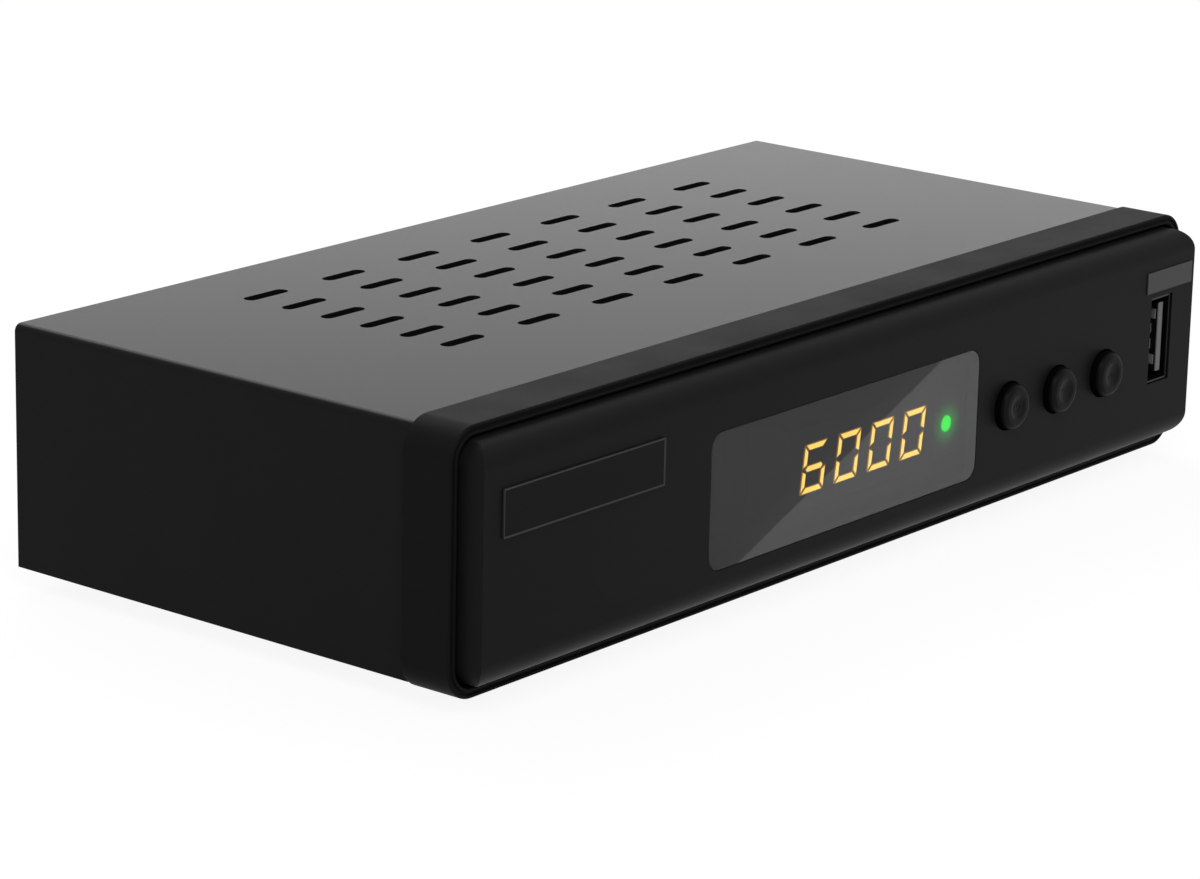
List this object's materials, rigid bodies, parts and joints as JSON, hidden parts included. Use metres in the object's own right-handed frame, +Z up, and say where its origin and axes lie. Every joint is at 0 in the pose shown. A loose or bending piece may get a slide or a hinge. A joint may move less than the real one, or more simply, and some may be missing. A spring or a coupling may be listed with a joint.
{
  "type": "cable television receiver",
  "caption": "Flat black set-top box: folded steel case with a vented top, glossy moulded front with digit display, push buttons and USB port, and aerial, video and power sockets at the back.",
  "frame": {"origin": "on the table under the middle of the object's box", "axes": "+X to the right seen from the front, +Y to the back, +Z up"},
  "size_m": [0.1712, 0.0944, 0.0384],
  "materials": {
    "cover_paint": "satin black powder paint on sheet steel",
    "tray_paint": "satin black paint on sheet steel",
    "frame_plastic": "fine matt moulding",
    "fascia_plastic": "gloss black moulding",
    "smoked_pane": "smoked acrylic, polished",
    "badge_film": "clear coated plate with a pale cut edge",
    "tag_film": "printed grey film",
    "button_plastic": "gloss black moulding",
    "switch_plastic": "moulded",
    "plunger_plastic": "moulded",
    "board_laminate": "green solder mask",
    "lit_bar": "amber light bars",
    "dark_bar": "unlit bars",
    "green_lens": "green light lens",
    "black_plastic": "moulded",
    "nickel": "nickel plated",
    "tinplate": "tinned sheet",
    "white_plastic": "moulded",
    "gilt": "gold flashed contacts",
    "ribbon_sleeve": "grey sleeve",
    "orange_plastic": "moulded",
    "chip_resin": "moulded resin",
    "bare_aluminium": "extruded",
    "capacitor_sleeve": "shrunk sleeve",
    "ferrite": "sintered",
    "screw_steel": "zinc plated",
    "foot_rubber": "moulded"
  },
  "bodies": {
    "case": {"top_cover": "cover_paint", "chassis_tray": "tray_paint", "front_bezel": "frame_plastic", "fascia": "fascia_plastic", "display_window": "smoked_pane", "badge_plate": "badge_film", "port_tag": "tag_film", "push_switches": "switch_plastic", "front_board": "board_laminate", "digit_block": "black_plastic", "lit_segments": "lit_bar", "dark_segments": "dark_bar", "status_light": "green_lens", "light_spacer": "black_plastic", "remote_eye": "black_plastic", "port_shell": "nickel", "port_tongue": "white_plastic", "port_contacts": "gilt", "ribbon_cable": "ribbon_sleeve", "ribbon_plugs": "white_plastic", "main_board": "board_laminate", "tuner_can": "tinplate", "aerial_in_shell": "nickel", "aerial_in_contact": "gilt", "aerial_out_sleeve": "nickel", "aerial_out_pin": "gilt", "av_socket": "black_plastic", "video_shell": "nickel", "video_tongue": "black_plastic", "audio_jack": "orange_plastic", "audio_ring": "nickel", "power_jack": "black_plastic", "power_jack_pin": "nickel", "processor": "chip_resin", "heat_sink": "bare_aluminium", "memory_chips": "chip_resin", "capacitors": "capacitor_sleeve", "power_coils": "ferrite", "crystal": "tinplate", "cover_screws": "screw_steel", "board_screws": "screw_steel", "front_board_screws": "screw_steel", "frame_screws": "screw_steel", "rubber_feet": "foot_rubber"},
    "power_cap": {"power_button": "button_plastic"},
    "down_cap": {"down_button": "button_plastic"},
    "up_cap": {"up_button": "button_plastic"},
    "power_switch": {"power_plunger": "plunger_plastic"},
    "down_switch": {"down_plunger": "plunger_plastic"},
    "up_switch": {"up_plunger": "plunger_plastic"}
  },
  "joints": [
    {"name": "power_press", "type": "slide", "parent": "case", "child": "power_cap", "axis": [0, 1, 0], "range_m": [0, 0.0005], "stiffness_N_per_m": 3000},
    {"name": "down_press", "type": "slide", "parent": "case", "child": "down_cap", "axis": [0, 1, 0], "range_m": [0, 0.0005], "stiffness_N_per_m": 3000},
    {"name": "up_press", "type": "slide", "parent": "case", "child": "up_cap", "axis": [0, 1, 0], "range_m": [0, 0.0005], "stiffness_N_per_m": 3000},
    {"name": "power_plunge", "type": "slide", "parent": "case", "child": "power_switch", "axis": [0, 1, 0], "range_m": [0, 0.0005]},
    {"name": "down_plunge", "type": "slide", "parent": "case", "child": "down_switch", "axis": [0, 1, 0], "range_m": [0, 0.0005]},
    {"name": "up_plunge", "type": "slide", "parent": "case", "child": "up_switch", "axis": [0, 1, 0], "range_m": [0, 0.0005]}
  ],
  "couplings": [
    {"joint": "power_plunge", "follows": "power_press", "ratio": 1},
    {"joint": "down_plunge", "follows": "down_press", "ratio": 1},
    {"joint": "up_plunge", "follows": "up_press", "ratio": 1}
  ]
}
